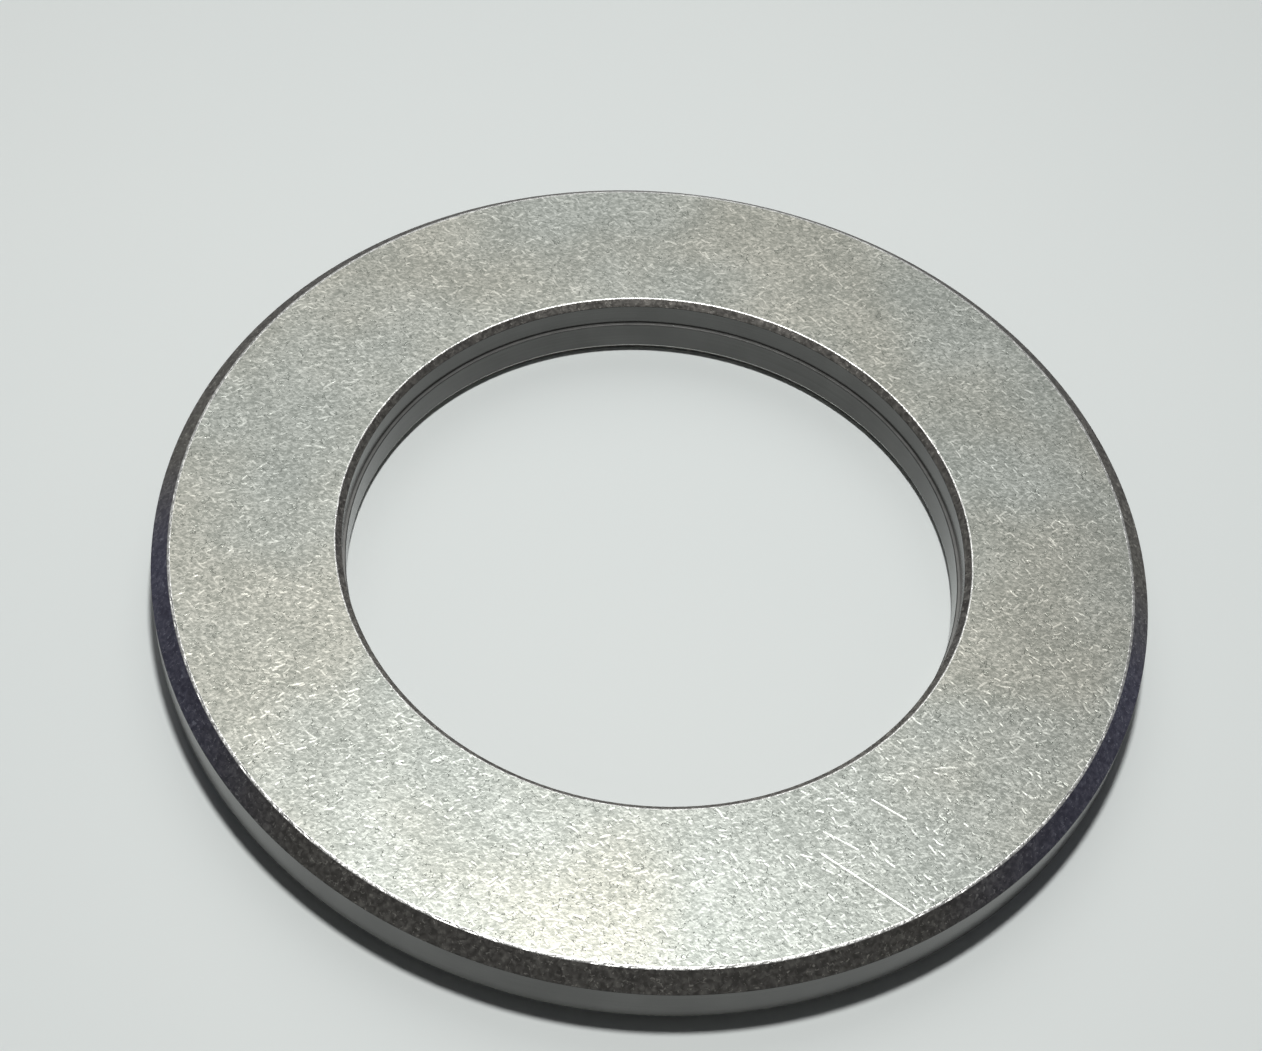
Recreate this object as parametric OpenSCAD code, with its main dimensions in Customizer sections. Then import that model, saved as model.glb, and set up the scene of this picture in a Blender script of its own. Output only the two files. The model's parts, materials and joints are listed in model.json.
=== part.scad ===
// Low-section thrust ball bearing. Two steel washers face each other with a ball groove in each,
// and a brass cage holds one row of balls between them. The housing washer's skirt and lip close
// the bearing outside and inside. Z is the bearing's axis, and Z = 0 is the shaft washer's face.

/* [Bearing] */
// Bore of the shaft washer, which is the size of the shaft
bore_d = 65; // [64:0.5:66]
// Outside diameter of the housing washer, which is the size of its seat
outside_d = 105; // [104:0.5:107]
// Overall height from face to face
height = 7.75; // [7.6:0.05:8.2]

/* [Balls] */
// Diameter of a ball
ball_d = 4.762; // [4.5:0.001:4.8]
// Number of balls in the row
ball_count = 36; // [12:1:40]
// Play between a ball and each raceway
raceway_play = 0.02; // [0.01:0.01:0.05]
// Radius of the raceway's groove as a share of the ball's diameter
groove_share = 0.54; // [0.52:0.01:0.58]

/* [Housing washer] */
// Thickness of both washers between their flat face and their raceway side
web_t = 2.45; // [2.2:0.05:2.6]
// How much further out than the shaft washer's bore the housing washer's bore is
bore_relief = 0.35; // [0.2:0.05:0.6]
// Radial width of the corner chamfer around the flat face
corner_w = 1.9; // [0.5:0.1:2.5]
// Height of the corner chamfer around the flat face
corner_h = 1.7; // [0.5:0.1:2.5]
// Radial width of the chamfer at the top of the bore
bore_chamfer_w = 0.7; // [0.2:0.05:1]
// Height of the chamfer at the top of the bore
bore_chamfer_h = 0.7; // [0.2:0.05:1.2]
// Radial thickness of the skirt that hangs outside the shaft washer
skirt_t = 1.65; // [1.4:0.05:2]
// Height of the skirt's lower edge above the shaft washer's face
skirt_z = 1.6; // [1:0.1:2.2]
// Chamfer on the skirt's lower outer edge
skirt_chamfer = 0.25; // [0.1:0.05:0.5]

/* [Shaft washer] */
// Radial thickness of the collar around the bore, and of the housing washer's lip above it
collar_t = 1.5; // [1:0.1:2]
// Height of the top of the collar
collar_z = 4.4; // [3.5:0.1:4.8]
// Axial gap between the collar and the lip above it
seam_gap = 0.06; // [0.05:0.01:0.2]
// Chamfer on the two edges that meet at the seam
seam_chamfer = 0.1; // [0.05:0.05:0.2]
// Radial play between the shaft washer's rim and the skirt around it
rim_play = 0.2; // [0.1:0.05:0.4]
// Radial width of the chamfer at the bottom of the bore
foot_chamfer_w = 0.6; // [0.3:0.1:1]
// Height of the chamfer at the bottom of the bore
foot_chamfer_h = 1; // [0.3:0.1:1.2]
// Chamfer around the shaft washer's flat face
rim_chamfer = 0.6; // [0.3:0.1:0.9]

/* [Cage] */
// Radial width of the cage
cage_w = 9; // [7:0.5:11]
// Thickness of the cage
cage_t = 2.1; // [1.8:0.1:2.2]
// Play between a ball and its pocket
pocket_play = 0.1; // [0.05:0.01:0.12]
// Chamfer on the cage's four edges
cage_chamfer = 0.3; // [0.1:0.05:0.5]

/* [Hidden] */
ring_fn = 180;
groove_fn = 96;
ball_fn = 64;

bore_r = bore_d / 2;
outside_r = outside_d / 2;
lip_r = bore_r + bore_relief;
collar_r = bore_r + collar_t;
skirt_r = outside_r - skirt_t;
rim_r = skirt_r - rim_play;
lip_z = collar_z + seam_gap;

ball_r = ball_d / 2;
ball_z = height / 2;
pitch_r = (bore_d + outside_d) / 4;
pitch_step = 360 / ball_count;

groove_r = groove_share * ball_d;
groove_lift = groove_r - ball_r - raceway_play;

// A ball's node name has two digits, as in ball_07
function ball_name(i) = str("ball_", i < 10 ? "0" : "", i);

// Each section is a closed outline of [radius, height] points
housing_section = [
    [lip_r + seam_chamfer, lip_z],
    [lip_r, lip_z + seam_chamfer],
    [lip_r, height - bore_chamfer_h],
    [lip_r + bore_chamfer_w, height],
    [outside_r - corner_w, height],
    [outside_r, height - corner_h],
    [outside_r, skirt_z + skirt_chamfer],
    [outside_r - skirt_chamfer, skirt_z],
    [skirt_r, skirt_z],
    [skirt_r, height - web_t],
    [collar_r, height - web_t],
    [collar_r, lip_z]
];

shaft_section = [
    [bore_r + foot_chamfer_w, 0],
    [rim_r - rim_chamfer, 0],
    [rim_r, rim_chamfer],
    [rim_r, web_t],
    [collar_r, web_t],
    [collar_r, collar_z],
    [bore_r + seam_chamfer, collar_z],
    [bore_r, collar_z - seam_chamfer],
    [bore_r, foot_chamfer_h]
];

cage_section = [
    [pitch_r - cage_w / 2, ball_z - cage_t / 2 + cage_chamfer],
    [pitch_r - cage_w / 2 + cage_chamfer, ball_z - cage_t / 2],
    [pitch_r + cage_w / 2 - cage_chamfer, ball_z - cage_t / 2],
    [pitch_r + cage_w / 2, ball_z - cage_t / 2 + cage_chamfer],
    [pitch_r + cage_w / 2, ball_z + cage_t / 2 - cage_chamfer],
    [pitch_r + cage_w / 2 - cage_chamfer, ball_z + cage_t / 2],
    [pitch_r - cage_w / 2 + cage_chamfer, ball_z + cage_t / 2],
    [pitch_r - cage_w / 2, ball_z + cage_t / 2 - cage_chamfer]
];

// A ring turned from its section
module turned(section) {
    rotate_extrude($fn = ring_fn) polygon(section);
}

// The round groove that the balls run in, with the centre of its arc at height z
module raceway(z) {
    translate([0, 0, z])
        rotate_extrude($fn = ring_fn)
            translate([pitch_r, 0])
                circle(r = groove_r, $fn = groove_fn);
}

// Puts its children at the centre of ball number i
module at_ball(i) {
    rotate([0, 0, (i - 1) * pitch_step])
        translate([pitch_r, 0, ball_z])
            children();
}

// Upper washer: flat face, corner chamfer, ground outside wall, skirt and lip, groove underneath
module housing_washer() {
    color([0.68, 0.69, 0.66])
        difference() {
            turned(housing_section);
            raceway(ball_z - groove_lift);
        }
}

// Lower washer: flat face, bore with its collar, groove on top
module shaft_washer() {
    color([0.60, 0.61, 0.60])
        difference() {
            turned(shaft_section);
            raceway(ball_z + groove_lift);
        }
}

// Flat brass ring whose round pockets are narrower at both faces, so each ball stays in its own
module ball_cage() {
    color([0.80, 0.64, 0.28])
        difference() {
            turned(cage_section);
            for (i = [1:ball_count])
                at_ball(i) sphere(r = ball_r + pocket_play, $fn = ball_fn);
        }
}

// One hardened steel ball
module ball(i) {
    color([0.86, 0.87, 0.88])
        at_ball(i) sphere(r = ball_r, $fn = ball_fn);
}

housing_washer();
shaft_washer();
ball_cage();
for (i = [1:ball_count])
    ball(i);
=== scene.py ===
import json
from math import cos, pi, radians, sin

import bpy
import numpy as np
from mathutils import Matrix, Vector


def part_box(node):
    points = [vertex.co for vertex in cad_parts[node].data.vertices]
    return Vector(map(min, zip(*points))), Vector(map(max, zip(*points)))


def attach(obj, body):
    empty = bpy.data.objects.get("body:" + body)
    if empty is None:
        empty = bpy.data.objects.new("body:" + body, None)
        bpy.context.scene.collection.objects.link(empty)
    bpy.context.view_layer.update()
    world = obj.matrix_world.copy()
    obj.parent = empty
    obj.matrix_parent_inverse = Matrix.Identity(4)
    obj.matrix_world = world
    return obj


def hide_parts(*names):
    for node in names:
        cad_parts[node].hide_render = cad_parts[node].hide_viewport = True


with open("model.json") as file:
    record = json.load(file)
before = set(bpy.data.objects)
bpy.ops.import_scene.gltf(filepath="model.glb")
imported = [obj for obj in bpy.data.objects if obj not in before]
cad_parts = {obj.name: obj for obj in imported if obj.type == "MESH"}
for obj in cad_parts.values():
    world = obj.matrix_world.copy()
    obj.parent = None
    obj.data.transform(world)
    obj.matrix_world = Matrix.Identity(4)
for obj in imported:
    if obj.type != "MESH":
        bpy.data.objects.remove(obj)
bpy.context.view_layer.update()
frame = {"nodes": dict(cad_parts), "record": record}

# ---------------------------------------------------------------- table, lights and camera
# The bearing lies on a pale, matt worktop. One small lamp hangs almost straight above it, and
# a large dim panel stands behind it to the left. The room in front of it is dark.
mm = 0.001
washer_low, washer_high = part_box("housing_washer")
outside_r = washer_high.x
top_z = washer_high.z

camera_distance = 4.9786 * outside_r
camera_elevation = radians(53.447)
camera_pan = radians(0.608)
camera_tilt = radians(1.144)
camera_roll = radians(7.440)
camera_lens = 69.17
lamp_place = Vector((-0.16, 0.25, 7.9)) * outside_r
lamp_width = 45 * mm
lamp_power = 1.25
panel_place = Vector((-0.12, 0.68, 0.72))
panel_width = 0.9
panel_power = 2.25
room_front_glow = 0.06
room_back_glow = 0.14
worktop_half = 1.5


def add(tree, kind, inputs=None, **settings):
    """A node of one kind in a material. Inputs map a socket to a value or to an output."""
    made = tree.nodes.new(kind)
    for name, value in settings.items():
        setattr(made, name, value)
    for socket, value in (inputs or {}).items():
        if isinstance(value, bpy.types.NodeSocket):
            tree.links.new(value, made.inputs[socket])
        else:
            made.inputs[socket].default_value = value
    return made


def ramp(tree, value, low, high, start=0.0, end=1.0):
    """start below low, end above high, and a smooth step between them."""
    return add(tree, "ShaderNodeMapRange", {0: value, 1: low, 2: high, 3: start, 4: end},
               interpolation_type="SMOOTHSTEP").outputs[0]


def blend(tree, share, one, other):
    """A colour between two colours or colour outputs."""
    ends = [(*end, 1) if isinstance(end, tuple) else end for end in (one, other)]
    return add(tree, "ShaderNodeMix", {0: share, 6: ends[0], 7: ends[1]}, data_type="RGBA").outputs[2]


def linked(thing):
    """Puts a new object into the scene and gives it back."""
    bpy.context.scene.collection.objects.link(thing)
    return thing


def aimed_light(name, place, target, power, size, colour):
    """A round area light at a place, turned towards a target."""
    data = bpy.data.lights.new(name, "AREA")
    data.shape = "DISK"
    data.size = size
    data.energy = power
    data.color = colour
    light = linked(bpy.data.objects.new(name, data))
    way = target - place
    light.matrix_world = Matrix.Translation(place) @ way.to_track_quat("-Z", "Y").to_matrix().to_4x4()


def worktop_paint():
    """Pale matt paint with a very faint cloudiness."""
    paint = bpy.data.materials.new("worktop_paint")
    paint.use_nodes = True
    tree = paint.node_tree
    shader = tree.nodes["Principled BSDF"]
    spot = add(tree, "ShaderNodeTexCoord").outputs["Object"]
    haze = add(tree, "ShaderNodeTexNoise", {"Vector": spot, "Scale": 9.0, "Detail": 3.0})
    tint = blend(tree, haze.outputs["Fac"], (0.71, 0.75, 0.75), (0.745, 0.775, 0.765))
    tree.links.new(tint, shader.inputs["Base Color"])
    shader.inputs["Roughness"].default_value = 0.6
    shader.inputs["Specular IOR Level"].default_value = 0.3
    return paint


def dim_room():
    """Surroundings that are dim in front of the bearing and a little lighter behind it."""
    room = bpy.data.worlds.new("room")
    room.use_nodes = True
    tree = room.node_tree
    background = tree.nodes["Background"]
    way = add(tree, "ShaderNodeTexCoord").outputs["Generated"]
    depth = add(tree, "ShaderNodeSeparateXYZ", {0: way}).outputs["Y"]
    glow = ramp(tree, depth, -0.2, 0.9, room_front_glow, room_back_glow)
    tree.links.new(glow, background.inputs["Strength"])
    background.inputs["Color"].default_value = (0.96, 0.98, 1.0, 1)
    return room


worktop_mesh = bpy.data.meshes.new("worktop")
worktop_mesh.from_pydata([(-worktop_half, -worktop_half, 0), (worktop_half, -worktop_half, 0),
                          (worktop_half, worktop_half, 0), (-worktop_half, worktop_half, 0)],
                         [], [(0, 1, 2, 3)])
worktop = linked(bpy.data.objects.new("worktop", worktop_mesh))
worktop_mesh.materials.append(worktop_paint())

bpy.context.scene.world = dim_room()
centre = Vector((0, 0, 0))
aimed_light("lamp", lamp_place, centre, lamp_power, lamp_width, (1.0, 1.0, 0.985))
aimed_light("panel", panel_place, centre, panel_power, panel_width, (1.0, 0.99, 0.97))

camera_data = bpy.data.cameras.new("camera")
camera_data.sensor_width = 36
camera_data.lens = camera_lens
camera_data.clip_start = 0.01
camera = linked(bpy.data.objects.new("camera", camera_data))
camera_place = Matrix.Translation((0, -camera_distance * cos(camera_elevation),
                                   camera_distance * sin(camera_elevation)))
camera.matrix_world = (camera_place @ Matrix.Rotation(pi / 2 - camera_elevation, 4, "X")
                       @ Matrix.Rotation(camera_pan, 4, "Y") @ Matrix.Rotation(camera_tilt, 4, "X")
                       @ Matrix.Rotation(camera_roll, 4, "Z"))
bpy.context.scene.camera = camera
bpy.context.scene.view_settings.view_transform = "Standard"

# ---------------------------------------------------------------- shaft washer
# The lower washer is turned from bearing steel and hardened. Its flat face is tumbled, its bore
# and its rim are ground, and its groove is honed. It fits the shaft, and its collar rises in the
# bore to a fine seam.
turns = 960
turn_step = 2 * pi / turns
arc_step = 0.25 * mm
nick_share = 0.3
mount_r = {mount["name"]: mount["dims"]["r_mm"] * mm
           for mount in frame["record"]["mounts"] if "r_mm" in mount["dims"]}
bore_r = mount_r["shaft_bore"]
_, shaft_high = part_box("shaft_washer")
rim_r = shaft_high.x
collar_z = shaft_high.z
web_t = 2.45 * mm
collar_t = 1.5 * mm
foot_chamfer_w = 0.6 * mm
foot_chamfer_h = 1.0 * mm
rim_chamfer = 0.6 * mm
seam_chamfer = 0.1 * mm
plain_round = 0.1 * mm
fine_round = 0.05 * mm
seam_round = 0.04 * mm
foot_round = 0.15 * mm
groove_round = 0.08 * mm
groove_bend = 0.96
raceway_play = 0.02 * mm
widest_lean = radians(54)
groove_share = 0.54
ball_low, ball_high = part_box("ball_01")
ball_r = (ball_high.z - ball_low.z) / 2
ball_z = (ball_high.z + ball_low.z) / 2
pitch_r = (ball_high.x + ball_low.x) / 2
groove_r = groove_share * 2 * ball_r
groove_lift = groove_r - ball_r - raceway_play


def rounded_outline(corners):
    """The outline of a turned ring, from corners of (radius, height, rounding, its finish, finish
    of the next side), walked with the steel on the left. Each corner becomes an arc: a point is the
    arc's centre plus the rounding times a normal that swings from one side's normal to the next.
    Wear is the rounding times the sine of the way along an edge's arc, and zero elsewhere."""
    places = np.array([corner[:2] for corner in corners], float)
    sides = np.roll(places, -1, axis=0) - places
    sides /= np.linalg.norm(sides, axis=1)[:, None]
    outward = np.stack([sides[:, 1], -sides[:, 0]], axis=1)
    points, normals, finishes, wear = [], [], [], []
    for i, (_, _, rounding, bend_finish, side_finish) in enumerate(corners):
        before, after = outward[i - 1], outward[i]
        bend = np.arccos(before @ after)
        curve = rounding if sides[i - 1] @ after > 0 else -rounding
        middle = places[i] - curve * (before + after) / (1 + before @ after)
        steps = 5 + int(bend * rounding / arc_step)
        share = np.linspace(0, 1, steps)[:, None]
        normal = (np.sin((1 - share) * bend) * before + np.sin(share * bend) * after) / np.sin(bend)
        points.append(middle + curve * normal)
        normals.append(normal)
        finishes += [bend_finish] * (steps - 1) + [side_finish]
        wear.append(rounding * np.sin(pi * share[:, 0]) * (bend_finish == "edge"))
    return np.vstack(points), np.vstack(normals), finishes, np.concatenate(wear)


def nicks(seed):
    """How deep the edges are knocked in at each angle, from 0 to about 1: a quarter of a seeded
    noise, smoothed over three steps around, plus 2.2 times the part of it that is above 0.62, so
    that most of an edge is nearly whole."""
    noise = np.random.default_rng(seed).random(turns)
    smooth = sum(np.roll(noise, k) * weight for k, weight in ((-1, 0.25), (0, 0.5), (1, 0.25)))
    return 0.25 * smooth + 2.2 * np.clip(smooth - 0.62, 0, 1)


def swung(places):
    """(radius, height) pairs for each angle, as the points (radius cos, radius sin, height)."""
    angle = np.arange(turns)[:, None] * turn_step
    return np.stack([places[..., 0] * np.cos(angle), places[..., 0] * np.sin(angle),
                     places[..., 1] + 0 * angle], axis=2).reshape(-1, 3)


def steps_along(outline):
    """The distance from each point of a closed outline to the next."""
    return np.linalg.norm(np.roll(outline, -1, axis=0) - outline, axis=1)


def leaning_normals(outline, outward, depth):
    """The outline's normals, swung around the axis and leaning by the two slopes of the wear: its
    rise from the point before to the point after, over their distance, along and around."""
    ahead = steps_along(outline)
    forward = np.stack([-outward[:, 1], outward[:, 0]], axis=1)
    rise_along = np.roll(depth, -1, axis=1) - np.roll(depth, 1, axis=1)
    rise_around = np.roll(depth, -1, axis=0) - np.roll(depth, 1, axis=0)
    slope_along = rise_along / (ahead + np.roll(ahead, 1))
    slope_around = (rise_around / (2 * turn_step * outline[:, 0])).ravel()
    normals = swung(outward + slope_along[:, :, None] * forward)
    angle = np.repeat(np.arange(turns) * turn_step, len(outline))
    normals[:, 0] -= slope_around * np.sin(angle)
    normals[:, 1] += slope_around * np.cos(angle)
    return normals / np.linalg.norm(normals, axis=1)[:, None]


def turned_ring(name, corners, paints, seed):
    """A closed ring turned about the bearing's axis. Its point at an angle is the outline's point,
    pressed in along its normal by the wear there. The UV map holds metres around and along."""
    outline, outward, finishes, wear = rounded_outline(corners)
    count = len(outline)
    depth = nick_share * nicks(seed)[:, None] * wear
    points = swung(outline - depth[:, :, None] * outward)
    i, j = (grid.ravel() for grid in np.meshgrid(np.arange(turns), np.arange(count), indexing="ij"))
    i_next, j_next = (i + 1) % turns, (j + 1) % count
    faces = np.stack([i * count + j, i_next * count + j,
                      i_next * count + j_next, i * count + j_next], axis=1)
    mesh = bpy.data.meshes.new(name)
    mesh.from_pydata(points.tolist(), [], faces.tolist())
    along = np.concatenate([[0], np.cumsum(steps_along(outline))])
    around = np.arange(turns + 1) * turn_step * outside_r
    uv = np.stack([np.stack([around[i], around[i + 1], around[i + 1], around[i]], axis=1),
                   np.stack([along[j], along[j], along[j + 1], along[j + 1]], axis=1)], axis=2)
    mesh.uv_layers.new(name="turned").data.foreach_set("uv", uv.astype(np.float32).ravel())
    for paint in paints.values():
        mesh.materials.append(paint)
    order = {finish: number for number, finish in enumerate(paints)}
    tile = np.array([order[finish] for finish in finishes], np.int32)
    mesh.polygons.foreach_set("material_index", tile[j])
    mesh.polygons.foreach_set("use_smooth", np.ones(len(faces), bool))
    mesh.update()
    mesh.normals_split_custom_set_from_vertices(leaning_normals(outline, outward, depth).tolist())
    return linked(bpy.data.objects.new(name, mesh))


def steel(name):
    """A new metal material, with its node tree, its shader and the piece's own coordinates."""
    paint = bpy.data.materials.new(name)
    paint.use_nodes = True
    tree = paint.node_tree
    shader = tree.nodes["Principled BSDF"]
    shader.inputs["Metallic"].default_value = 1.0
    spot = add(tree, "ShaderNodeTexCoord").outputs["Object"]
    return paint, tree, shader, spot


def cloud(tree, spot, size, seed=0, detail=2.0, twist=0.0, stretch=(1, 1, 1)):
    """Soft noise whose blobs are about size metres across, running from 0 to 1."""
    moved = add(tree, "ShaderNodeMapping", {"Vector": spot, "Location": (seed * 1.7, seed * 0.9, seed),
                                            "Scale": [axis / size for axis in stretch]})
    return add(tree, "ShaderNodeTexNoise", {"Vector": moved.outputs[0], "Scale": 1.0,
                                            "Detail": detail, "Distortion": twist}).outputs["Fac"]


def sum_of(tree, *terms):
    """Adds up (output, gain) pairs."""
    total = 0.0
    for output, gain in terms:
        total = add(tree, "ShaderNodeMath", {0: output, 1: gain, 2: total},
                    operation="MULTIPLY_ADD").outputs[0]
    return total


def size_of(tree, value):
    """The value without its sign."""
    return add(tree, "ShaderNodeMath", {0: value}, operation="ABSOLUTE").outputs[0]


def times(tree, one, other):
    """The product of two values."""
    return add(tree, "ShaderNodeMath", {0: one, 1: other}, operation="MULTIPLY").outputs[0]


def strokes(tree, spot, size, seed, reach, width, bare):
    """Short scratches, one to a cell of a scattered pattern. In a cell, u runs along the scratch and
    v across it, turned by the cell's own lean, and v + bow times u squared is zero on its line.
    Reach and width are half sizes in shares of the cell, and bare is the share of cells with none."""
    moved = add(tree, "ShaderNodeMapping", {"Vector": spot, "Location": (seed * 1.3, seed * 2.1, 0),
                                            "Scale": (1 / size, 1 / size, 0)}).outputs[0]
    cells = add(tree, "ShaderNodeTexVoronoi", {"Vector": moved, "Scale": 1.0},
                voronoi_dimensions="2D")
    luck = add(tree, "ShaderNodeSeparateColor", {0: cells.outputs["Color"]}).outputs
    away = add(tree, "ShaderNodeVectorMath", {0: moved, 1: cells.outputs["Position"]},
               operation="SUBTRACT").outputs[0]
    lean = ramp(tree, luck[0], 0.0, 1.0, -widest_lean, widest_lean)
    turned = add(tree, "ShaderNodeVectorRotate", {"Vector": away, "Angle": lean},
                 rotation_type="Z_AXIS").outputs[0]
    u, v, _ = add(tree, "ShaderNodeSeparateXYZ", {0: turned}).outputs
    bow = ramp(tree, luck[1], 0.0, 1.0, -0.5, 0.5)
    across = add(tree, "ShaderNodeMath", {0: times(tree, u, u), 1: bow, 2: v},
                 operation="MULTIPLY_ADD").outputs[0]
    line = ramp(tree, size_of(tree, across), 0.0, width, 1.0, 0.0)
    ends = ramp(tree, size_of(tree, u), 0.5 * reach, reach, 1.0, 0.0)
    return times(tree, times(tree, line, ends), ramp(tree, luck[2], bare, bare + 0.3))


def finish_with(tree, shader, colour, roughness, height, depth):
    """Wires a colour, a roughness and a relief of some depth in metres to the shader."""
    tree.links.new(colour, shader.inputs["Base Color"])
    tree.links.new(roughness, shader.inputs["Roughness"])
    relief = add(tree, "ShaderNodeBump", {"Height": height, "Distance": depth, "Strength": 1.0})
    tree.links.new(relief.outputs[0], shader.inputs["Normal"])


def scores(tree, spot, width, lines):
    """Straight scratches between pairs of (x, y) points in millimetres: 1 on each line, falling to 0
    at the width. The nearest point on a line is its start plus its span times a share from 0 to 1."""
    flat = add(tree, "ShaderNodeVectorMath", {0: spot, 1: (1, 1, 0)}, operation="MULTIPLY").outputs[0]
    total = 0.0
    for (x, y), (x_end, y_end) in lines:
        span = Vector((x_end - x, y_end - y, 0)) * mm
        away = add(tree, "ShaderNodeVectorMath", {0: flat, 1: Vector((x, y, 0)) * mm},
                   operation="SUBTRACT").outputs[0]
        share = add(tree, "ShaderNodeVectorMath", {0: away, 1: span / span.length_squared},
                    operation="DOT_PRODUCT").outputs["Value"]
        share = add(tree, "ShaderNodeClamp", {0: share}).outputs[0]
        nearest = add(tree, "ShaderNodeVectorMath", {0: span, "Scale": share}, operation="SCALE")
        gap = add(tree, "ShaderNodeVectorMath", {0: away, 1: nearest.outputs[0]},
                  operation="DISTANCE").outputs["Value"]
        total = sum_of(tree, (ramp(tree, gap, 0.3 * width, width, 1.0, 0.0), 1.0), (total, 1.0))
    return total


def tumbled_steel():
    """Barrel-tumbled flat face: dimpled grain with small pits painted dark as painted shade, crossed
    by short scratches that lean either way and crowd together in places, with slow patches of warm and
    cool grey and three long straight scratches from being handled. All the scratches are painted
    bright as painted glints."""
    paint, tree, shader, spot = steel("tumbled_steel")
    grain = cloud(tree, spot, 0.3 * mm, 3, detail=3.0, twist=0.8, stretch=(0.6, 1, 1))
    dimples = cloud(tree, spot, 1.3 * mm, 33, detail=3.0, twist=0.8)
    patch = cloud(tree, spot, 8 * mm, 5, detail=3.0)
    warm = ramp(tree, cloud(tree, spot, 26 * mm, 9), 0.35, 0.65)
    fine = [strokes(tree, spot, 0.6 * mm, 11, 0.45, 0.22, 0.1),
            strokes(tree, spot, 0.85 * mm, 13, 0.42, 0.17, 0.2)]
    deep = [strokes(tree, spot, 1.0 * mm, 17, 0.40, 0.16, 0.4),
            strokes(tree, spot, 1.3 * mm, 19, 0.42, 0.13, 0.5),
            strokes(tree, spot, 1.9 * mm, 23, 0.45, 0.10, 0.6),
            strokes(tree, spot, 7 * mm, 29, 0.50, 0.02, 0.8)]
    handling_scores_and_glints = scores(tree, spot, 0.17 * mm, [((19.8, -36.0), (29.1, -41.3)),
                                              ((19.8, -33.5), (23.2, -35.0)),
                                              ((24.3, -29.2), (27.7, -30.9))])
    dents_and_shade = ramp(tree, cloud(tree, spot, 0.5 * mm, 41, twist=1.0), 0.62, 0.72)
    faint = sum_of(tree, *((line, 0.5) for line in fine))
    crowd = ramp(tree, cloud(tree, spot, 3 * mm, 47, detail=3.0), 0.4, 0.6, 0.25, 1.0)
    cuts_and_glints = times(tree, sum_of(tree, *((line, 0.7) for line in deep)), crowd)
    # Painted light: the scratches' gains lift them towards the glint colour as painted glints, and the
    # pits' negative gain darkens them as painted shade; grain, dimples and patches are the face's own
    # tone.
    shade = sum_of(tree, (grain, 1.9), (dimples, 0.4), (patch, 0.5), (faint, 0.5), (cuts_and_glints, 1.1),
                   (dents_and_shade, -0.5), (handling_scores_and_glints, 0.6))
    tone = blend(tree, warm, (0.25, 0.258, 0.228), (0.24, 0.258, 0.238))
    glint = blend(tree, warm, (0.61, 0.602, 0.54), (0.575, 0.60, 0.565))
    colour = blend(tree, ramp(tree, shade, 1.0, 2.28), tone, glint)
    rough = sum_of(tree, (grain, 0.12), (faint, 0.04), (cuts_and_glints, 0.04), (0.335, 1.0))
    relief = sum_of(tree, (grain, 0.15), (dimples, 0.4), (faint, -0.12), (cuts_and_glints, -0.45), (dents_and_shade, -0.4),
                    (handling_scores_and_glints, -0.3))
    finish_with(tree, shader, colour, rough, relief, 0.04 * mm)
    return paint


def turned_steel(name, bareness):
    """Turned chamfer, left dark by its heat treatment: brown-black, with mottling, bright chips and a
    painted blue-black reflection on each side in front. Bareness shifts all of it towards bare metal."""
    paint, tree, shader, spot = steel(name)
    shader.inputs["Specular Tint"].default_value = (0.3, 0.3, 0.32, 1)
    mottle = cloud(tree, spot, 0.55 * mm, 61, detail=5.0, twist=0.6)
    chips = ramp(tree, cloud(tree, spot, 0.35 * mm, 71, twist=1.0), 0.62, 0.70)
    x, y, _ = add(tree, "ShaderNodeSeparateXYZ", {0: spot}).outputs
    # Painted reflection: a blue tint on each side of the chamfer in front, mirroring something blue.
    painted_blue_reflection = times(tree, ramp(tree, size_of(tree, x), 0.55 * outside_r, 0.85 * outside_r),
                  ramp(tree, y, -0.25 * outside_r, 0.1 * outside_r, 1.0, 0.0))
    shade = sum_of(tree, (mottle, 1.0), (chips, 0.8), (bareness, 1.0))
    dark = blend(tree, painted_blue_reflection, (0.215, 0.203, 0.19), (0.16, 0.155, 0.215))
    bare = blend(tree, painted_blue_reflection, (0.68, 0.65, 0.60), (0.42, 0.42, 0.52))
    colour = blend(tree, ramp(tree, shade, 0.3, 1.1), dark, bare)
    finish_with(tree, shader, colour, sum_of(tree, (mottle, 0.2), (0.33, 1.0)), mottle, 0.04 * mm)
    return paint


def ground_steel():
    """Ground wall: even grey with fine level lines that run around it."""
    paint, tree, shader, spot = steel("ground_steel")
    lines = cloud(tree, spot, 0.06 * mm, 83, detail=2.0, stretch=(0.004, 0.004, 1))
    haze = cloud(tree, spot, 6 * mm, 89)
    shade = sum_of(tree, (lines, 0.5), (haze, 0.5))
    colour = blend(tree, ramp(tree, shade, 0.25, 0.75), (0.10, 0.099, 0.096), (0.14, 0.139, 0.135))
    finish_with(tree, shader, colour, sum_of(tree, (lines, 0.12), (0.14, 1.0)), lines, 0.002 * mm)
    return paint


def ledge_steel():
    """Both sides of the seam in the bore: ground once, left plain, and painted a shade lighter than
    the bore as painted light, so that the seam shows as a faint light line.
    """
    paint, tree, shader, spot = steel("ledge_steel")
    haze = cloud(tree, spot, 0.8 * mm, 91, detail=3.0)
    # Painted light: the lighter colour keeps the seam a faint light line and the lip's down-facing
    # chamfer from going dark.
    colour = blend(tree, haze, (0.15, 0.15, 0.145), (0.23, 0.23, 0.225))
    finish_with(tree, shader, colour, sum_of(tree, (haze, 0.1), (0.45, 1.0)), haze, 0.004 * mm)
    return paint


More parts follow.
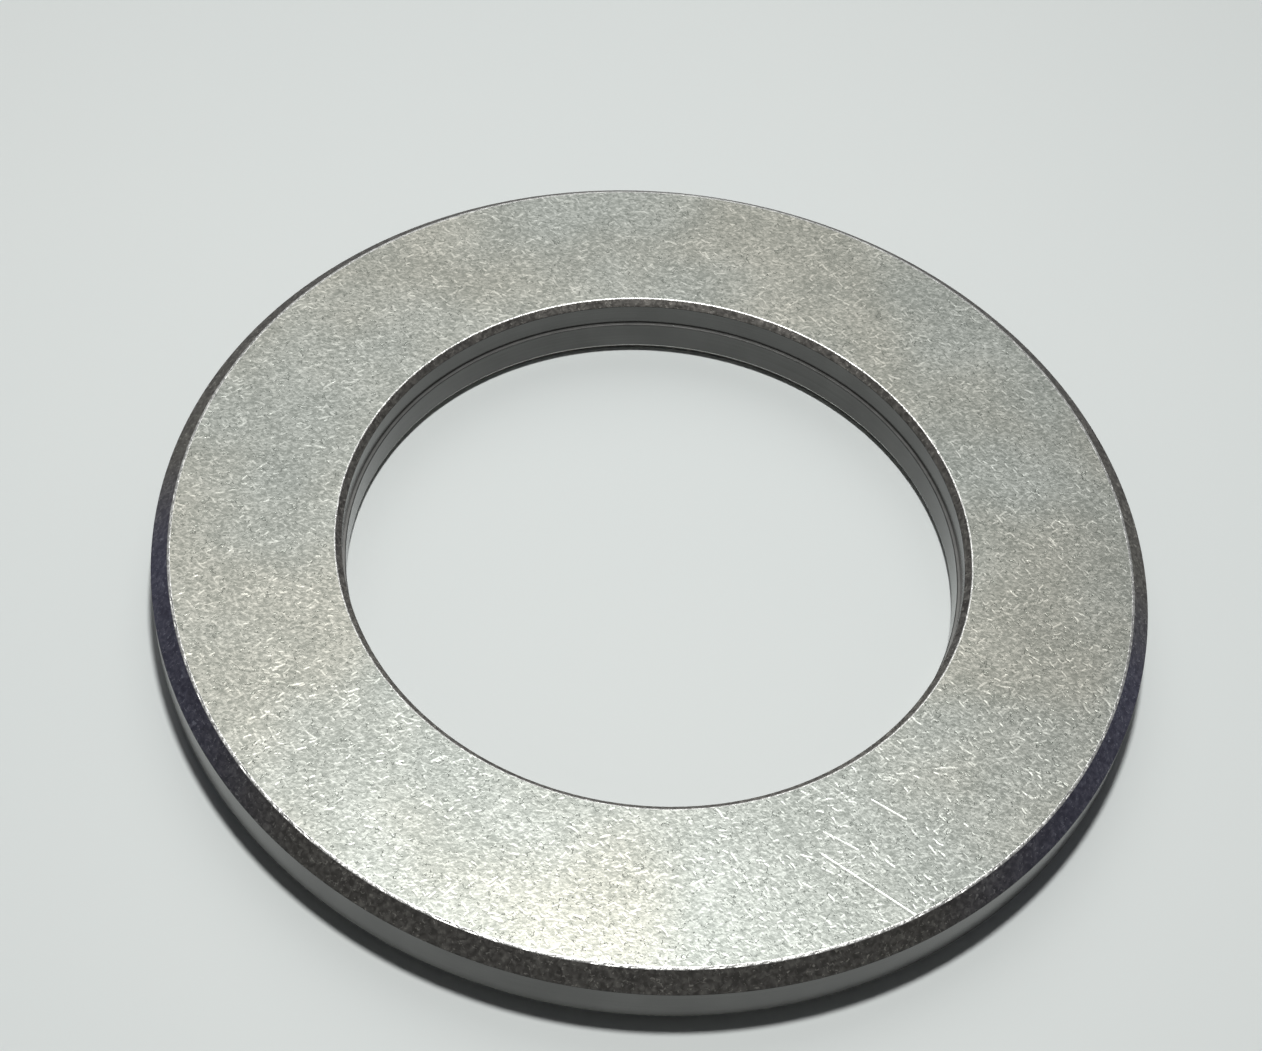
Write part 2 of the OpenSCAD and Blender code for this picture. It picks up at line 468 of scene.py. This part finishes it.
def honed_steel():
    """Raceway honed to a soft, slightly hazy mirror."""
    paint, tree, shader, spot = steel("honed_steel")
    haze = cloud(tree, spot, 1.5 * mm, 93, detail=3.0)
    colour = blend(tree, haze, (0.52, 0.52, 0.52), (0.66, 0.66, 0.65))
    finish_with(tree, shader, colour, sum_of(tree, (haze, 0.1), (0.09, 1.0)), haze, 0.001 * mm)
    return paint


def burnished_and_highlit_steel():
    """Rounded edge rubbed bright and hammered rough by tumbling, and painted near white as a painted
    highlight.
    """
    paint, tree, shader, spot = steel("burnished_and_highlit_steel")
    rub = cloud(tree, spot, 0.4 * mm, 97, detail=3.0)
    # Painted highlight: the colour runs up to near white, lighter than rubbed steel, so that the
    # rounded edges show as bright lines; the rub noise is real wear.
    colour = blend(tree, ramp(tree, rub, 0.3, 0.7), (0.70, 0.70, 0.68), (1.0, 1.0, 0.98))
    finish_with(tree, shader, colour, sum_of(tree, (rub, 0.3), (0.33, 1.0)), rub, 0.12 * mm)
    return paint


def groove_corners(height, groove_z, side):
    """The raceway in a flat at some height, as three corners whose middle one is rounded by nearly
    the groove's radius. side is 1 where the groove opens upwards and -1 where it opens downwards."""
    cosine = abs(height - groove_z) / groove_r
    half = groove_r * np.sqrt(1 - cosine ** 2)
    deepest = groove_z - side * groove_r / cosine
    return [(pitch_r + side * half, height, groove_round, "edge", "race"),
            (pitch_r, deepest, groove_bend * groove_r, "race", "race"),
            (pitch_r - side * half, height, groove_round, "edge", "turned")]


steels = {"face": tumbled_steel(), "turned": turned_steel("turned_steel", 0.0),
          "bored": turned_steel("bored_steel", 0.05), "ground": ground_steel(),
          "edge": burnished_and_highlit_steel(), "race": honed_steel(), "ledge": ledge_steel()}
shaft_washer = turned_ring("shaft_washer_steel_ring", [
    (bore_r + foot_chamfer_w, 0, plain_round, "turned", "face"),
    (rim_r - rim_chamfer, 0, plain_round, "edge", "turned"),
    (rim_r, rim_chamfer, plain_round, "edge", "ground"),
    (rim_r, web_t, plain_round, "turned", "turned"),
    *groove_corners(web_t, ball_z + groove_lift, 1),
    (bore_r + collar_t, web_t, plain_round, "turned", "turned"),
    (bore_r + collar_t, collar_z, fine_round, "turned", "ledge"),
    (bore_r + seam_chamfer, collar_z, seam_round, "ledge", "ledge"),
    (bore_r, collar_z - seam_chamfer, seam_round, "ground", "ground"),
    (bore_r, foot_chamfer_h, foot_round, "edge", "turned"),
], steels, seed=21)
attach(shaft_washer, "shaft_washer")
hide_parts("shaft_washer")

# ---------------------------------------------------------------- ball cage
# A flat ring machined from brass, with one round pocket for each ball. Its pockets are narrower
# at both faces, so that it hangs on the balls and goes round with them.


def machined_brass():
    """Brass with a fine grain from machining and slight tarnish."""
    paint, tree, shader, spot = steel("machined_brass")
    grain = cloud(tree, spot, 0.25 * mm, 101, detail=3.0)
    tarnish = cloud(tree, spot, 5 * mm, 103, detail=3.0)
    shade = sum_of(tree, (grain, 0.5), (tarnish, 0.5))
    colour = blend(tree, ramp(tree, shade, 0.3, 0.7), (0.58, 0.38, 0.14), (0.82, 0.62, 0.30))
    finish_with(tree, shader, colour, sum_of(tree, (tarnish, 0.2), (0.2, 1.0)), grain, 0.003 * mm)
    return paint


cage = frame["nodes"]["ball_cage"]
cage.data.materials.clear()
cage.data.materials.append(machined_brass())

# ---------------------------------------------------------------- balls
# Hardened and lapped steel balls, 3/16 inch across. Each one rolls about the line from the
# bearing's axis through its own centre.


def lapped_steel():
    """Mirror-like steel with the faintest haze."""
    paint, tree, shader, spot = steel("lapped_steel")
    haze = cloud(tree, spot, 0.4 * mm, 107, detail=4.0)
    colour = blend(tree, haze, (0.56, 0.57, 0.58), (0.68, 0.69, 0.70))
    finish_with(tree, shader, colour, sum_of(tree, (haze, 0.1), (0.03, 1.0)), haze, 0.0005 * mm)
    return paint


ball_paint = lapped_steel()
for name in sorted(frame["nodes"]):
    if name.startswith("ball_") and name != "ball_cage":
        ball = frame["nodes"][name]
        ball.data.materials.clear()
        ball.data.materials.append(ball_paint)

# ---------------------------------------------------------------- housing washer
# The upper washer closes the bearing. Its flat face is tumbled, its corner is chamfered, and its
# outside wall is ground to fit the housing. A skirt and a lip hang down around the balls.
lip_r = mount_r["housing_bore"]
skirt_z = washer_low.z
corner_w = 1.9 * mm
corner_h = 1.7 * mm
bore_chamfer_w = 0.7 * mm
bore_chamfer_h = 0.7 * mm
skirt_chamfer = 0.25 * mm
skirt_t = 1.65 * mm
skirt_r = outside_r - skirt_t
seam_gap = 0.06 * mm
lip_z = collar_z + seam_gap
lip_chamfer = 0.04 * mm
lip_round = 0.02 * mm
corner_low_round = 0.08 * mm
corner_top_round = 0.45 * mm
bore_top_round = 0.2 * mm
inner_z = top_z - web_t

housing_washer = turned_ring("housing_washer_steel_ring", [
    (lip_r + lip_chamfer, lip_z, lip_round, "ledge", "ground"),
    (bore_r + collar_t, lip_z, fine_round, "turned", "turned"),
    (bore_r + collar_t, inner_z, plain_round, "turned", "turned"),
    *groove_corners(inner_z, ball_z - groove_lift, -1),
    (skirt_r, inner_z, plain_round, "turned", "turned"),
    (skirt_r, skirt_z, plain_round, "turned", "turned"),
    (outside_r - skirt_chamfer, skirt_z, fine_round, "turned", "turned"),
    (outside_r, skirt_z + skirt_chamfer, fine_round, "edge", "ground"),
    (outside_r, top_z - corner_h, corner_low_round, "ground", "turned"),
    (outside_r - corner_w, top_z, corner_top_round, "edge", "face"),
    (lip_r + bore_chamfer_w, top_z, bore_top_round, "edge", "bored"),
    (lip_r, top_z - bore_chamfer_h, plain_round, "ground", "ground"),
    (lip_r, lip_z + lip_chamfer, lip_round, "ground", "ledge"),
], steels, seed=22)
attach(housing_washer, "housing_washer")
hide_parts("housing_washer")
